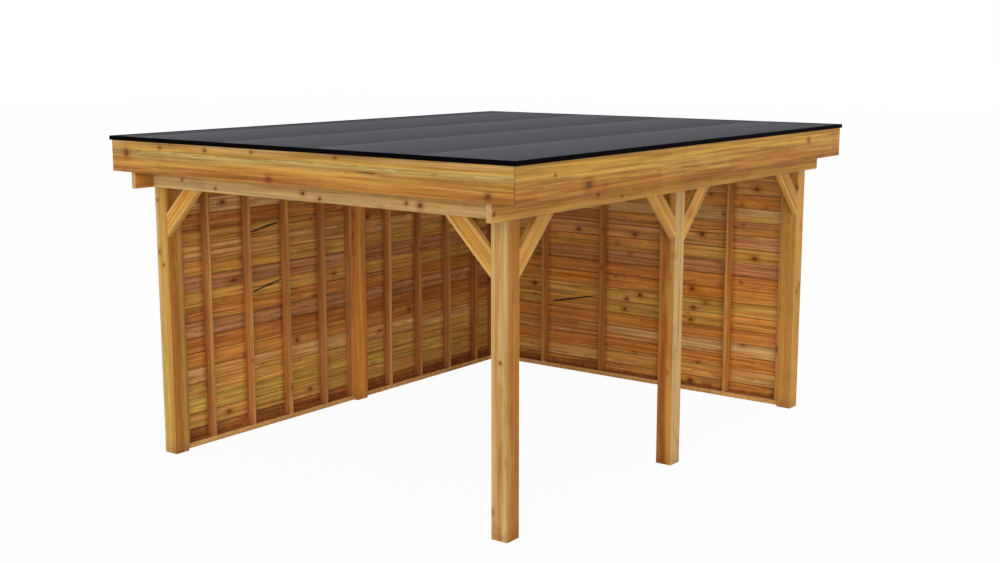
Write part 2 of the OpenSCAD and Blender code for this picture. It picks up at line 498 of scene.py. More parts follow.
def known_knots(net, place, knots, core, halo):
    """Adds the given knots to the scattered ones: the greater of each mask."""
    for centre, radii in knots:
        spot = net.group(SPOT, Place=place, Centre=centre, Radii=radii)
        core = net.math("MAXIMUM", core, spot["Core"])
        halo = net.math("MAXIMUM", halo, spot["Halo"])
    return core, halo


def dress(net, shader, colour, place, grain, core, halo, depth, row=None, cut=None, sawn="bone"):
    """The part all softwood shares: rings, streaks, knots, sawn ends, wear and grime laid over a base
    colour, and roughness and relief from the same figure."""
    wood = net.group(FIGURE, Grain=grain, Pitch=0.0042, Knots=halo)
    row = net.split(net.add("UVMap", uv_map="chart").outputs[0])[1] if row is None else row
    worn = net.group(WEATHER, Row=row, Place=place)
    streak = net.span(wood["Streak"], 0.3, 0.7, 0.0, 1.0)
    colour = net.mix(net.math("MULTIPLY", streak, depth), colour, stain("shade"), "MULTIPLY")
    pale = net.span(wood["Mottle"], 0.5, 0.75, 0.0, 0.34)
    colour = net.mix(pale, colour, stain("wheat"), "SOFT_LIGHT")
    colour = net.mix(net.math("MULTIPLY", wood["Rings"], depth * 0.8), colour, stain("ring"), "MULTIPLY")
    fine = net.span(wood["Fibre"], 0.35, 0.7, 0.0, 0.16)
    colour = net.mix(fine, colour, stain("umber"), "MULTIPLY")
    colour = net.mix(net.math("MULTIPLY", halo, 0.45), colour, stain("resin"), "MULTIPLY")
    colour = net.mix(net.math("MULTIPLY", core, 0.85), colour, stain("knot"))
    end = net.layer("end")
    # Ends take the end stain; ink there paints the fascias' mitre faces near black, painted shade in the open
    # joint.
    colour = net.mix(net.math("MULTIPLY", end, 0.5 if sawn == "bone" else 0.95), colour, stain(sawn))
    colour = net.mix(net.math("MULTIPLY", worn["Arris"], 0.3), colour, stain("cream"))
    colour = net.mix(net.math("MULTIPLY", worn["Splash"], 0.4), colour, stain("umber"), "MULTIPLY")
    soil = net.span(worn["Cloud"], 0.52, 0.75, 0.0, 0.22)
    colour = net.mix(soil, colour, stain("shade"), "MULTIPLY")
    relief = wood["Height"]
    # A shake's crack is darkened towards ink: painted shade inside the crack.
    if cut is not None:
        colour = net.mix(net.math("MULTIPLY", cut, 0.93), colour, stain("ink"))
        relief = net.math("SUBTRACT", relief, net.math("MULTIPLY", cut, 3.0))
    relief = net.math("ADD", relief, net.math("MULTIPLY", core, 0.5))
    net.feed(shader.inputs["Base Color"], colour)
    rough = net.math("ADD", net.math("MULTIPLY", wood["Fibre"], 0.22), 0.5)
    rough = net.math("SUBTRACT", rough, net.math("MULTIPLY", core, 0.16))
    rough = net.math("ADD", rough, net.math("MULTIPLY", end, 0.14))
    net.feed(shader.inputs["Roughness"], rough)
    shader.inputs["Specular IOR Level"].default_value = 0.12
    bump(net, shader, relief, 0.0007)


def softwood(name, faces, knots=(), depth=0.5, density=0.3, tone=0.25, lift=1.0, slats=(), sawn="bone"):
    """Planed softwood. faces gives the stains across each face of the section in turn, so one timber can
    be dark on one side and pale on the next; a slow sway keeps the lamellas from running dead straight."""
    made, net, shader = blank(name)
    place = net.object_place()
    grain = net.layer("grain", "Vector")
    row = net.split(net.add("UVMap", uv_map="chart").outputs[0])[1]
    sway = net.noise(net.vector("MULTIPLY", grain, (1.1, 6.0, 6.0)), 1.0, 3.0)
    part = net.math("FRACT", row)
    rest = net.math("SUBTRACT", row, part)
    moved = net.math("ADD", part, net.math("MULTIPLY", net.math("SUBTRACT", sway, 0.5), 0.5))
    moved = net.math("MINIMUM", net.math("MAXIMUM", moved, 0.02), 0.98)
    colour = net.ramp(net.math("DIVIDE", net.math("ADD", rest, moved), 4.0), face_stops(faces, lift))
    slow = net.noise(net.vector("MULTIPLY", grain, (1.3, 9.0, 9.0)), 1.0, 3.0, 0.6)
    colour = net.mix(net.span(slow, 0.5, 0.72, 0.0, 0.35), colour, stain("amber", BASE * lift))
    deep = net.noise(net.vector("MULTIPLY", grain, (0.8, 21.0, 21.0)), 1.0, 3.0, 0.65)
    colour = net.mix(net.span(deep, 0.56, 0.74, 0.0, 0.6), colour, stain("copper", BASE * lift))
    for middle, half, tint in slats:
        inside = net.group(SLAT, Place=place, Middle=middle, Half=half)["Inside"]
        colour = net.mix(net.math("MULTIPLY", inside, 0.75), colour, stain(tint, BASE * lift))
    shade = net.span(net.layer("tone"), 0.0, 1.0, 0.0, tone, smooth=False)
    colour = net.mix(shade, colour, stain("copper"), "MULTIPLY")
    branch = net.group(BRANCHES, Grain=grain, Density=density)
    core, halo = known_knots(net, place, knots, branch["Core"], branch["Halo"])
    dress(net, shader, colour, place, grain, core, halo, depth, row=row, sawn=sawn)
    return made


def boarding(name, rows, streaks, knots, shakes, along, pitch, first, lift=1.4):
    """Wall boards. rows names each board's stain from the ground up and streaks the second stain that
    runs through it; the mixture drifts along each board and shifts from bay to bay. Painted shade darkens the
    boards beside the studs, which stand a pitch apart from the first one, and on the lowest board."""
    made, net, shader = blank(name)
    place = net.object_place()
    grain = net.layer("grain", "Vector")
    axes = net.split(place)
    up = axes[2]
    # The lift brightens the wall boards, which stand in the roof's shade: painted light.
    lift = np.array([1.08, 1.2, 1.42]) * lift
    step = 1 / BOARD_ROW
    share = net.math("DIVIDE", net.math("SUBTRACT", up, 0.005), 2.265)
    stops = [(k * step, stain(n, BASE * lift)) for k, n in enumerate(rows.split())]
    other = [(k * step, stain(n, BASE * lift)) for k, n in enumerate(streaks.split())]
    low_coat = net.ramp(share, stops, "CONSTANT")
    streak_coat = net.ramp(share, other, "CONSTANT")
    drift = net.noise(net.vector("MULTIPLY", grain, (1.6, 20.0, 20.0)), 1.0, 4.0, 0.6)
    bay = net.math("ADD", net.math("DIVIDE", net.math("SUBTRACT", axes[along], first), pitch), 8.0)
    cell = net.add("TexWhiteNoise", noise_dimensions="2D")
    level = net.math("FLOOR", net.math("DIVIDE", share, step))
    net.feed(cell.inputs["Vector"], net.join(net.math("FLOOR", bay), level, 0.0))
    own = net.span(cell.outputs["Value"], 0.0, 1.0, 0.34, 0.66, smooth=False)
    both = net.math("ADD", net.math("MULTIPLY", drift, 0.6), net.math("MULTIPLY", own, 0.5))
    colour = net.mix(net.span(both, 0.48, 0.64), low_coat, streak_coat)
    warm = net.noise(net.vector("MULTIPLY", grain, (2.4, 30.0, 30.0)), 1.0, 3.0, 0.6, twist=0.3)
    colour = net.mix(net.span(warm, 0.53, 0.72, 0.0, 0.6), colour, stain("flame", BASE * lift))
    grey = net.noise(net.vector("MULTIPLY", grain, (1.3, 14.0, 14.0)), 1.0, 2.0, 0.5)
    colour = net.mix(net.span(grey, 0.55, 0.76, 0.0, 0.5), colour, stain("clay", BASE * lift))
    # Painted shadow lines along the joints between boards, deeper where the drift runs high.
    joint_shadow = net.math("ABSOLUTE", net.math("SUBTRACT", net.math("FRACT", net.math("DIVIDE", share, step)), 0.5))
    joint_shadow = net.math("MULTIPLY", net.span(joint_shadow, 0.46, 0.5), net.span(drift, 0.3, 0.6, 0.15, 0.8))
    colour = net.mix(joint_shadow, colour, stain("peat"), "MULTIPLY")
    # Painted shade: the colour darkens within a few centimetres of each stud and in the lowest 15 cm of the
    # wall.
    middle = net.math("FRACT", net.math("ADD", bay, 0.5))
    beside = net.math("MULTIPLY", net.math("ABSOLUTE", net.math("SUBTRACT", middle, 0.5)), pitch)
    blot = net.noise(place, 17.0, 4.0, 0.65)
    dust_and_shade = net.math("MULTIPLY", net.span(beside, 0.085, 0.02), net.span(blot, 0.3, 0.65, 0.2, 0.55))
    foot = net.math("MULTIPLY", net.span(up, 0.15, 0.04), net.span(blot, 0.35, 0.65, 0.1, 0.5))
    colour = net.mix(net.math("MAXIMUM", dust_and_shade, foot), colour, stain("shade"), "MULTIPLY")
    colour = net.mix(net.span(blot, 0.52, 0.8, 0.0, 0.22), colour, stain("shade"), "MULTIPLY")
    branch = net.group(BRANCHES, Grain=grain, Density=0.42)
    core, halo = known_knots(net, place, knots, branch["Core"], branch["Halo"])
    cut = None
    for start, finish, width in shakes:
        shake = net.group(SHAKE, Place=place, Start=start, Finish=finish, Width=width)
        # Each crack gets a painted highlight in the pale band above it and painted shade in its ink line.
        colour = net.mix(net.math("MULTIPLY", shake["Above"], 0.7), colour, stain("amber", BASE * lift))
        cut = shake["Line"] if cut is None else net.math("MAXIMUM", cut, shake["Line"])
    dress(net, shader, colour, place, grain, core, halo, 0.75, cut=cut)
    return made


def roofing_felt():
    """Mineral felt: dark grey granules, each sheet palest at its free edge and darker towards the next
    lap, with faint rolling streaks and scattered pale chips."""
    made, net, shader = blank("Roofing felt")
    place = net.object_place()
    x, y, z = net.split(place)
    wave = net.math("MULTIPLY", net.math("SUBTRACT", net.noise(place, 3.0, 2.0), 0.5), 0.02)
    sheet = net.math("DIVIDE", net.math("SUBTRACT", net.math("ADD", x, wave), LAPS[1]), LAPS[0] - LAPS[1])
    part = net.math("FRACT", net.math("ADD", sheet, 10.0))
    fade = net.ramp(part, [(0.0, linear((100, 100, 107))), (0.25, linear((91, 91, 98))),
                           (0.7, linear((80, 81, 86))), (1.0, linear((71, 72, 77)))])
    chips = net.add("TexVoronoi", voronoi_dimensions="3D", feature="F1")
    net.feed(chips.inputs["Vector"], place)
    chips.inputs["Scale"].default_value = 420.0
    tint = net.split(chips.outputs["Color"])[0]
    colour = net.mix(net.span(tint, 0.2, 1.0, 0.0, 0.35), fade, linear((54, 55, 60)))
    colour = net.mix(net.span(tint, 0.94, 1.0, 0.0, 0.35), colour, linear((140, 142, 148)))
    cloud = net.noise(net.vector("MULTIPLY", place, (2.2, 0.7, 1.0)), 1.0, 4.0, 0.6)
    colour = net.mix(net.span(cloud, 0.4, 0.75, 0.0, 0.2), colour, linear((66, 67, 73)))
    net.feed(shader.inputs["Base Color"], colour)
    net.feed(shader.inputs["Roughness"], net.span(tint, 0.0, 1.0, 0.72, 0.95))
    shader.inputs["Specular IOR Level"].default_value = 0.06
    relief = net.math("ADD", chips.outputs["Distance"], net.math("MULTIPLY", cloud, 0.6))
    bump(net, shader, relief, 0.0012, 0.5)
    return made


def coated_metal(name, shade, scuff, metallic=0.0, rough=0.38, gloss=0.3):
    """Coated or plated sheet: an even coat with fine orange-peel relief, dust clouds and hair scratches."""
    made, net, shader = blank(name)
    place = net.object_place()
    dust_and_shade = net.noise(place, 5.0, 5.0, 0.65)
    peel = net.noise(place, 700.0, 2.0)
    hair = net.noise(net.vector("MULTIPLY", place, (3.0, 260.0, 260.0)), 1.0, 3.0, 0.7)
    mark = net.span(hair, 0.66, 0.74, 0.0, 0.5)
    colour = net.mix(net.span(dust_and_shade, 0.45, 0.8, 0.0, 0.3), linear(shade), linear(scuff))
    colour = net.mix(mark, colour, linear(scuff))
    net.feed(shader.inputs["Base Color"], colour)
    shine = net.math("ADD", net.span(dust_and_shade, 0.3, 0.8, 0.0, 0.22), net.math("MULTIPLY", mark, 0.2))
    net.feed(shader.inputs["Roughness"], net.math("ADD", shine, rough))
    shader.inputs["Metallic"].default_value = metallic
    shader.inputs["Specular IOR Level"].default_value = gloss
    bump(net, shader, net.math("SUBTRACT", peel, mark), 0.0002, 0.4)
    return made


# ================================================================ posts
POST_FACES = {
    # stains across the back, left, front and right face, each read along the section
    "post_front_right": ("honey ochre tan caramel honey", "caramel tan ochre",
                         "pearl cream sand biscuit sand bone bone cream",
                         "honey tan caramel caramel caramel tan"),
    "post_front_left": ("tan caramel tan", "ochre honey tan", "pearl straw straw straw gold amber",
                        "caramel tan copper caramel ochre honey sand"),
    "post_right_middle": ("tan caramel ochre", "caramel tan copper", "caramel russet russet ochre honey",
                          "bone cream bone wheat"),
    "post_back_right": ("tan ochre caramel", "copper caramel tan", "ochre tan honey",
                        "gold honey gold amber"),
    "post_left_middle": ("tan caramel tan", "ochre tan honey", "copper russet copper",
                         "caramel tan caramel copper"),
    "post_back_left": ("ochre tan honey", "honey tan ochre", "tan caramel tan", "caramel tan copper"),
}
# Gain on each post's stains; post_left_middle stands in shade under the roof and is painted brighter, painted
# light that makes up for that shade.
POST_LIFT = {"post_left_middle": 1.62, "post_front_left": 0.92, "post_front_right": 0.96}
POST_KNOTS = {
    "post_front_right": [((1.76, -2.32, 1.28), (0.011, 0.02, 0.012))],
    "post_front_left": [((-1.745, -2.32, 1.62), (0.013, 0.02, 0.012)),
                        ((-1.79, -2.32, 2.16), (0.012, 0.02, 0.01))],
}


def post(name):
    """A square post whose top is cut back on its outer sides to seat the beams: the full section up to the
    beams, then the same ring of points drawn in to the smaller section on the same level."""
    rng = seeded(name)
    low, high = extent(name)
    seat_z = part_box("beam_left")[0][2]
    full_low, full_high = low.copy(), high.copy()
    cut_low, cut_high = low.copy(), high.copy()
    side, front = np.sign(low[0] + high[0]), np.sign(low[1] + high[1])
    beam = extent("beam_left" if side < 0 else "beam_right")
    (cut_low if side < 0 else cut_high)[0] = beam[1][0] if side < 0 else beam[0][0]
    if "middle" not in name:
        beam = extent("beam_front" if front < 0 else "beam_back")
        (cut_low if front < 0 else cut_high)[1] = beam[1][1] if front < 0 else beam[0][1]
    whole = board_section(*(full_high - full_low)[:2]) + (full_low + full_high)[:2] / 2
    seat = board_section(*(cut_high - cut_low)[:2]) + (cut_low + cut_high)[:2] / 2
    ease = 0.002
    rings = np.stack([
        station(inset(whole, ease), low[2]), station(whole, low[2] + ease), station(whole, seat_z),
        station(seat, seat_z), station(seat, high[2] - ease), station(inset(seat, ease), high[2])])
    rows, flat = face_rows(len(whole))
    pith = -(low + high)[:2] / 2 + rng.uniform(-0.02, 0.02, 2)
    shape = carry(rings, (0, 0, 0), (Z, X, Y), rows, ~flat, (rng.uniform(0, 40), 0, 0), pith, 0.2)
    finish = softwood("Timber " + name, POST_FACES[name], POST_KNOTS.get(name, ()), depth=0.42, tone=0.1,
                      lift=POST_LIFT.get(name, 1.0))
    return piece("timber_" + name, shape, finish, [name])


# ================================================================ beams and fascias
BEAM_FACES = {
    # along Y the faces are right, bottom, left, top; along X they are top, front, bottom, back
    "beam_right": ("tan caramel tan ochre honey", "tan ochre", "tan caramel tan", "tan"),
    "beam_left": ("tan caramel tan", "tan ochre", "ochre tan honey", "tan"),
    "beam_front": ("tan", "tan honey biscuit wheat cream bone", "honey tan", "caramel tan ochre"),
    "beam_back": ("tan", "ochre tan honey", "tan ochre", "caramel tan ochre honey"),
}
BEAM_KNOTS = {
    "beam_front": [((-1.045, -2.344, 2.304), (0.014, 0.03, 0.011)),
                   ((-1.44, -2.344, 2.352), (0.012, 0.03, 0.01)),
                   ((0.098, -2.344, 2.298), (0.016, 0.03, 0.014)),
                   ((1.075, -2.344, 2.318), (0.024, 0.03, 0.02)),
                   ((0.947, -2.344, 2.326), (0.014, 0.03, 0.012))],
    "beam_right": [((1.844, -1.249, 2.354), (0.03, 0.018, 0.018)), ((1.844, -2.5, 2.33), (0.03, 0.014, 0.012)),
                   ((1.844, -0.92, 2.309), (0.03, 0.012, 0.01))],
}


def beam(name):
    """A straight beam on edge. Chart rows run up the outer face."""
    low, high = extent(name)
    run = 1 if name in ("beam_left", "beam_right") else 0
    shape = straight(seeded(name), low, high, run, tone=0.2)
    # lift 1.2 brightens the beams against the shade under the eaves: painted light.
    finish = softwood("Timber " + name, BEAM_FACES[name], BEAM_KNOTS.get(name, ()), depth=0.5, tone=0.1,
                      lift=1.2)
    return piece("timber_" + name, shape, finish, [name])


FASCIA_BANDS = {
    # stains down the outer face from the top edge
    "fascia_front": "wheat honey gold moss moss honey amber ochre tan caramel caramel",
    "fascia_right": "honey amber gold gold honey ochre tan caramel caramel copper",
    "fascia_back": "wheat honey amber moss honey ochre tan caramel copper",
    "fascia_left": "honey gold amber honey ochre tan caramel caramel copper",
}
FASCIA_KNOTS = {
    "fascia_front": [((-1.87, -2.55, 2.56), (0.034, 0.03, 0.028)), ((-1.45, -2.55, 2.62), (0.018, 0.03, 0.014)),
                     ((-0.92, -2.55, 2.622), (0.018, 0.03, 0.013)), ((-0.40, -2.55, 2.635), (0.014, 0.03, 0.01)),
                     ((0.46, -2.55, 2.635), (0.014, 0.03, 0.01)), ((-0.225, -2.55, 2.441), (0.026, 0.03, 0.02)),
                     ((1.83, -2.55, 2.45), (0.022, 0.03, 0.018)), ((0.775, -2.55, 2.545), (0.13, 0.03, 0.006))],
    "fascia_right": [((2.05, -1.685, 2.47), (0.03, 0.045, 0.03)), ((2.05, 1.869, 2.585), (0.03, 0.024, 0.018)),
                     ((2.05, -2.09, 2.568), (0.03, 0.012, 0.01))],
}
FASCIA_LIFT = np.array([1.07, 1.14, 1.2])
FASCIA_SLATS = {
    "fascia_right": [((2.05, -0.17, 2.486), (0.05, 0.54, 0.043), "honey"),
                     ((2.05, -1.95, 2.47), (0.05, 0.36, 0.062), "tan")],
    "fascia_front": [((1.72, -2.55, 2.572), (0.42, 0.05, 0.02), "moss"),
                     ((-0.6, -2.55, 2.572), (0.9, 0.05, 0.018), "moss")],
}
SIDES = {
    # side: outward axis, sign, axis the board runs along
    "front": (1, -1, 0), "right": (0, 1, 1), "back": (1, 1, 0), "left": (0, -1, 1),
}


def fascia(name):
    """A board on edge with mitred ends: each point's cut lies as far from the outer corner as the point
    lies behind the outer face, so the two boards meet on the diagonal."""
    rng = seeded(name)
    low, high = extent(name)
    out_axis, sign, run = SIDES[name.split("_")[1]]
    thick = 0.022
    tall = high[2] - low[2]
    section = board_section(tall, thick, 0.002) + (0, 0)
    outward = np.eye(3)[out_axis] * sign
    along = np.cross(Z, outward)
    half = (high - low)[run] / 2
    centre = (low + high) / 2
    centre[out_axis] = (high if sign > 0 else low)[out_axis] - sign * thick / 2
    reach = half - (thick / 2 - section[:, 1]) - MITRE_GAP / 2
    shape = timber(rng, section, -reach, reach, centre, (along, Z, outward), ease=0.0004, tone=0.2)
    bands = FASCIA_BANDS[name]
    faces = (bands, "caramel copper", "tan caramel tan", "honey")
    # The end stain is ink: the mitre faces are painted near black, painted shade in the open joint between the
    # boards.
    finish = softwood("Timber " + name, faces, FASCIA_KNOTS.get(name, ()), depth=0.7, density=0.2,
                      tone=0.1, lift=FASCIA_LIFT, slats=FASCIA_SLATS.get(name, ()), sawn="ink")
    return piece("board_" + name, shape, finish, [name])


# ================================================================ braces
BRACES = {
    # node: axis it leans along, direction away from its post
    "brace_front_left": (0, 1), "brace_front_right": (0, -1), "brace_right_front": (1, 1),
    "brace_right_mid_front": (1, -1), "brace_right_mid_back": (1, 1), "brace_right_back": (1, -1),
}


def brace(name, finish):
    """A plank at forty-five degrees in the corner between post and beam. With a measured square off its
    length from that corner, the plank spans b = -a at the post to b = +a under the beam."""
    rng = seeded(name)
    low, high = extent(name)
    axis, way = BRACES[name]
    lean = np.eye(3)[axis] * way
    side = np.eye(3)[1 - axis]
    corner = (low + high) / 2
    corner[axis] = (low if way > 0 else high)[axis]
    corner[2] = high[2]
    width = 0.140
    outer = (high - low)[axis] / math.sqrt(2)
    section = board_section(width, (high - low)[1 - axis]) + (outer - width / 2, 0)
    along = (lean + Z) / math.sqrt(2)
    across = (lean - Z) / math.sqrt(2)
    off = section[:, 0]
    shape = timber(rng, section, -off, off, corner, (along, across, side), ease=0.0004)
    return piece("plank_" + name, shape, finish, [name])


# ================================================================ wall frames
def rails_and_studs(wall, rail_finish, stud_finish):
    """Bottom rail, top rail and six studs of one bay. Studs stand where the sizes at the top say."""
    made = []
    for rail in ("bottom_rail", "top_rail"):
        node = wall + "_" + rail
        low, high = extent(node)
        run = int(np.argmax((high - low)[:2]))
        made.append(piece("rail_" + node, straight(seeded(node), low, high, run), rail_finish,
                          [node]))
    node = wall + "_studs"
    rng = seeded(node)
    low, high = extent(node)
    run = int(np.argmax((high - low)[:2]))
    half = STUD_W / 2
    if wall == "back":
        middles = list(BACK_STUDS)
    else:
        way = -1 if wall == "left_front" else 1
        middles = [way * SIDE_STUD_PITCH * k for k in (1, 2, 3, 4)]
    middles += [low[run] + half, high[run] - half]
    shapes = []
    for middle in sorted(middles):
        foot, head = low.copy(), high.copy()
        foot[run], head[run] = middle - half, middle + half
        shapes.append(straight(rng, foot, head, 2))
    made.append(piece("studs_" + wall, merge(shapes), stud_finish, [node]))
    return made


def wall_board_section(tall, thick, lap):
    """Feather-edged rebated board, seen on its end: the inner face is upright with small bevels, the outer
    face leans out from half thickness at the top to full thickness at the drip edge. The foot is rebated
    over the board below. Points run (up, out)."""
    h, t, b = tall / 2, thick, 0.0034
    return np.array([
        (h - b, 0), (h, b), (h, t * 0.5), (h - lap, t * 0.56), (-h + 0.004, t), (-h + 0.0006, t - 0.003),
        (-h + 0.0006, t * 0.62), (-h + 0.001, t * 0.60), (-h + 0.001, b), (-h + b + 0.001, 0)])


def boards_of(wall, finish):
    """Seventeen boards one above another, each its own length of the board section, with a hair of play
    between them. Distances up and out are turned to the wall's own axes."""
    node = "cladding_" + wall
    rng = seeded(node)
    low, high = extent(node)
    run = int(np.argmax((high - low)[:2]))
    out_axis = 1 - run
    thick = (high - low)[out_axis]
    outward = np.eye(3)[out_axis] * (1 if wall == "back" else -1)
    inner = (low if wall == "back" else high)[out_axis]
    tall = (high[2] - low[2]) / BOARD_ROW
    section = wall_board_section(tall, thick, 0.012)
    rows = np.column_stack([np.linspace(0.1, 0.8, len(section)), np.linspace(0.15, 0.85, len(section))])
    smooth = np.zeros(len(section), bool)
    half = (high - low)[run] / 2
    shapes = []
    for number in range(BOARD_ROW):
        centre = (low + high) / 2
        centre[2] = low[2] + tall * (number + 0.5)
        centre[out_axis] = inner
        rings = plain_run(section, half)
        pith = (rng.uniform(-0.06, 0.06), rng.uniform(0.02, 0.09))
        shapes.append(carry(rings, centre, (np.eye(3)[run], Z, outward), rows, smooth,
                            (rng.uniform(0, 60), 0, 0), pith, rng.uniform()))
    return piece("boards_" + wall, merge(shapes), finish, [node])


# ================================================================ roof
def roof_joists(finish):
    """Nine joists on edge across the side beams, at equal steps between the fascias."""
    rng = seeded("roof_joists")
    low, high = extent("roof_joists")
    wide = 0.045
    shapes = []
    for middle in np.linspace(low[1] + wide / 2, high[1] - wide / 2, 9):
        foot, head = low.copy(), high.copy()
        foot[1], head[1] = middle - wide / 2, middle + wide / 2
        shapes.append(straight(rng, foot, head, 0))
    return piece("joists", merge(shapes), finish, ["roof_joists"])


def deck_section(wide, thick):
    """Tongued roof board on its end: a square upper edge, a tongue one side and a groove the other, and
    bevels below that meet the neighbour's in a V. Points run (across, up)."""
    w, t = wide / 2, thick / 2
    return np.array([
        (w, t), (-w, t), (-w, 0.003), (-w + 0.005, 0.003), (-w + 0.005, -0.003), (-w, -0.003),
        (-w, -t + 0.005), (-w + 0.004, -t), (w - 0.004, -t), (w, -t + 0.005), (w, -0.0028),
        (w + 0.0045, -0.0028), (w + 0.0045, 0.0028), (w, 0.0028)])


def roof_deck(finish):
    """Thirty-four tongued boards side by side along Y; the last one has its tongue planed off."""
    rng = seeded("roof_deck")
    low, high = extent("roof_deck")
    wide = (high - low)[0] / DECK_ROW
    half = (high - low)[1] / 2
    shapes = []
    for number in range(DECK_ROW):
        section = deck_section(wide - 0.0004, high[2] - low[2])
        if number == DECK_ROW - 1:
            section[:, 0] = np.minimum(section[:, 0], wide / 2 - 0.0002)
            section = np.delete(section, (11, 12), 0)
        rows = np.column_stack([np.linspace(0.1, 0.8, len(section)), np.linspace(0.15, 0.85, len(section))])
        centre = (low + high) / 2
        centre[0] = low[0] + wide * (number + 0.5)
        rings = plain_run(section, half)
        pith = (rng.uniform(-0.06, 0.06), rng.uniform(0.03, 0.1))
        shapes.append(carry(rings, centre, (Y, X, Z), rows, np.zeros(len(section), bool),
                            (rng.uniform(0, 60), 0, 0), pith, rng.uniform()))
    return piece("deck_boards", merge(shapes), finish, ["roof_deck"])


def felt(finish):
    """The felt as one closed skin on a grid of x and y. Its top is 1.4 mm over its foot, plus 2.4 mm at a
    sheet's free edge falling off over a hand's width, plus a slow ripple that dies at the rim."""
    low, high = extent("roof_felt")
    edges = [x for lap in LAPS if low[0] < lap < high[0]
             for x in (lap - 0.0006, lap + 0.0006, lap + 0.04, lap + 0.08, lap + 0.13)]
    xs = np.unique(np.concatenate([np.linspace(low[0], high[0], 60), edges]))
    ys = np.linspace(low[1], high[1], 90)
    gx, gy = np.meshgrid(xs, ys, indexing="ij")
    behind = gx[..., None] - np.array(LAPS)
    behind = np.where(behind > 0, behind, 9).min(-1)
    lift = 0.0022 * np.clip(1 - behind / 0.14, 0, 1) ** 1.5
    rim = np.minimum(np.minimum(gx - low[0], high[0] - gx), np.minimum(gy - low[1], high[1] - gy))
    ripple = 0.0004 * np.sin(gx * 7.1 + 2.0 * np.sin(gy * 1.7)) * np.sin(gy * 3.3 + gx)
    top = low[2] + 0.0013 + lift + ripple * np.clip(rim / 0.2, 0, 1)
    count = gx.size
    upper = np.stack([gx, gy, np.minimum(top, high[2] - 0.0001)], -1).reshape(-1, 3)
    lower = upper.copy()
    lower[:, 2] = low[2]
    nx, ny = gx.shape
    index = np.arange(count).reshape(nx, ny)
    quads = np.stack([index[:-1, :-1], index[1:, :-1], index[1:, 1:], index[:-1, 1:]], -1).reshape(-1, 4)
    rim_path = np.concatenate([index[:, 0], index[-1, 1:], index[-2::-1, -1], index[0, -2:0:-1]])
    after = np.roll(rim_path, -1)
    skirt = np.stack([rim_path, rim_path + count, after + count, after], -1)
    faces = np.concatenate([quads, quads[:, ::-1] + count, skirt])
    verts = np.concatenate([upper, lower])
    shape = {"verts": verts, "faces": faces.tolist(), "chart": verts[faces.reshape(-1)][:, :2],
             "smooth": np.zeros(len(faces), bool), "grain": verts, "tone": np.zeros(len(verts)),
             "end": np.zeros(len(verts))}
    return piece("felt_sheets", shape, finish, ["roof_felt"])


def edge_trim(name, finish):
    """The angle carried along one side, mitred at both ends like the fascia below it."""
    low, high = extent(name)
    out_axis, sign, run = SIDES[name.split("_")[1]]
    tall, lip, sheet, bend = high[2] - low[2], 0.014, 0.002, 0.003
    # the fold is a quarter circle of the bend's radius; points run (up, out) from the leg's inner foot
    turn = np.linspace(math.pi / 2, 0, 4)
    fold = np.stack([-bend + bend * np.sin(turn), -bend + bend * np.cos(turn)], 1)
    section = np.concatenate([
        [(-tall, -sheet), (-sheet, -sheet), (-sheet, -lip), (0, -lip)],
        fold, [(-tall, 0)]])
    outward = np.eye(3)[out_axis] * sign
    along = np.cross(Z, outward)
    corner = (low + high) / 2
    corner[out_axis] = (high if sign > 0 else low)[out_axis]
    corner[2] = high[2]
    half = (high - low)[run] / 2
    reach = half + section[:, 1]
    rings = np.stack([station(section, -reach), station(section, reach)])
    facing = np.cross(section - section.mean(0), np.roll(section, -1, 0) - section.mean(0)).sum()
    if facing < 0:
        rings = rings[:, ::-1]
    rows = np.tile([0.1, 0.9], (len(section), 1))
    shape = carry(rings, corner, (along, Z, outward), rows, np.zeros(len(section), bool), (0, 0, 0),
                  (0, 0), 0.5)
    return piece("angle_" + name, shape, finish, [name])


# ================================================================ screws
def screw_heads(name, places, facing, finish, radius=0.0042):
    """Flat screw heads with a dished recess: a ring radius and height for each step out from the middle,
    turned through a full circle, then copied to every place and faced outwards."""
    steps = np.array([(0.28, -0.0006), (0.42, 0.0004), (0.86, 0.0007), (1.0, 0.0002), (1.0, -0.0015)])
    turn = np.arange(12) * math.pi / 6
    ring = np.stack([np.cos(turn), np.sin(turn)], 1)
    flat = (steps[:, None, :1] * ring[None] * radius)
    local = np.concatenate([flat, np.broadcast_to(steps[:, None, 1:], flat.shape[:2] + (1,))], -1)
    local = local.reshape(-1, 3)
    i = np.arange(12)
    j = (i + 1) % 12
    s = np.arange(len(steps) - 1)[:, None] * 12
    quads = np.stack([s + i, s + 12 + i, s + 12 + j, s + j], -1).reshape(-1, 4).tolist()
    faces = quads + [list(range(12)), (i[::-1] + (len(steps) - 1) * 12).tolist()]
    shapes = []
    for place, out in zip(places, facing):
        out = np.asarray(out, float)
        side = np.cross(out, (0.31, 0.2, 0.93))
        side /= np.linalg.norm(side)
        axes = np.stack([side, np.cross(out, side), out])
        verts = np.asarray(place) + local @ axes
        shapes.append({"verts": verts, "faces": faces, "smooth": np.zeros(len(faces), bool),
                       "chart": np.concatenate([local[f][:, :2] for f in faces]),
                       "grain": local, "tone": np.zeros(len(local)), "end": np.zeros(len(local))})
    return piece(name, merge(shapes), finish)


def brace_screws(finish):
    """Two screws at each end of every brace, on its outer face, a thumb's width in from the cuts."""
    places, facing = [], []
    for node, (axis, way) in BRACES.items():
        low, high = extent(node)
        lean = np.eye(3)[axis] * way
        corner = np.zeros(3)
        corner[axis] = (low if way > 0 else high)[axis]
        corner[2] = high[2]
        out = -Y if axis == 0 else X
        corner[1 - axis] = (low if axis == 0 else high)[1 - axis]
        for s, drop in ((0.035, 0.275), (0.035, 0.345), (0.275, 0.035), (0.345, 0.035)):
            places.append(corner + lean * s - Z * drop)
            facing.append(out)
    return screw_heads("screws_braces", places, facing, finish)


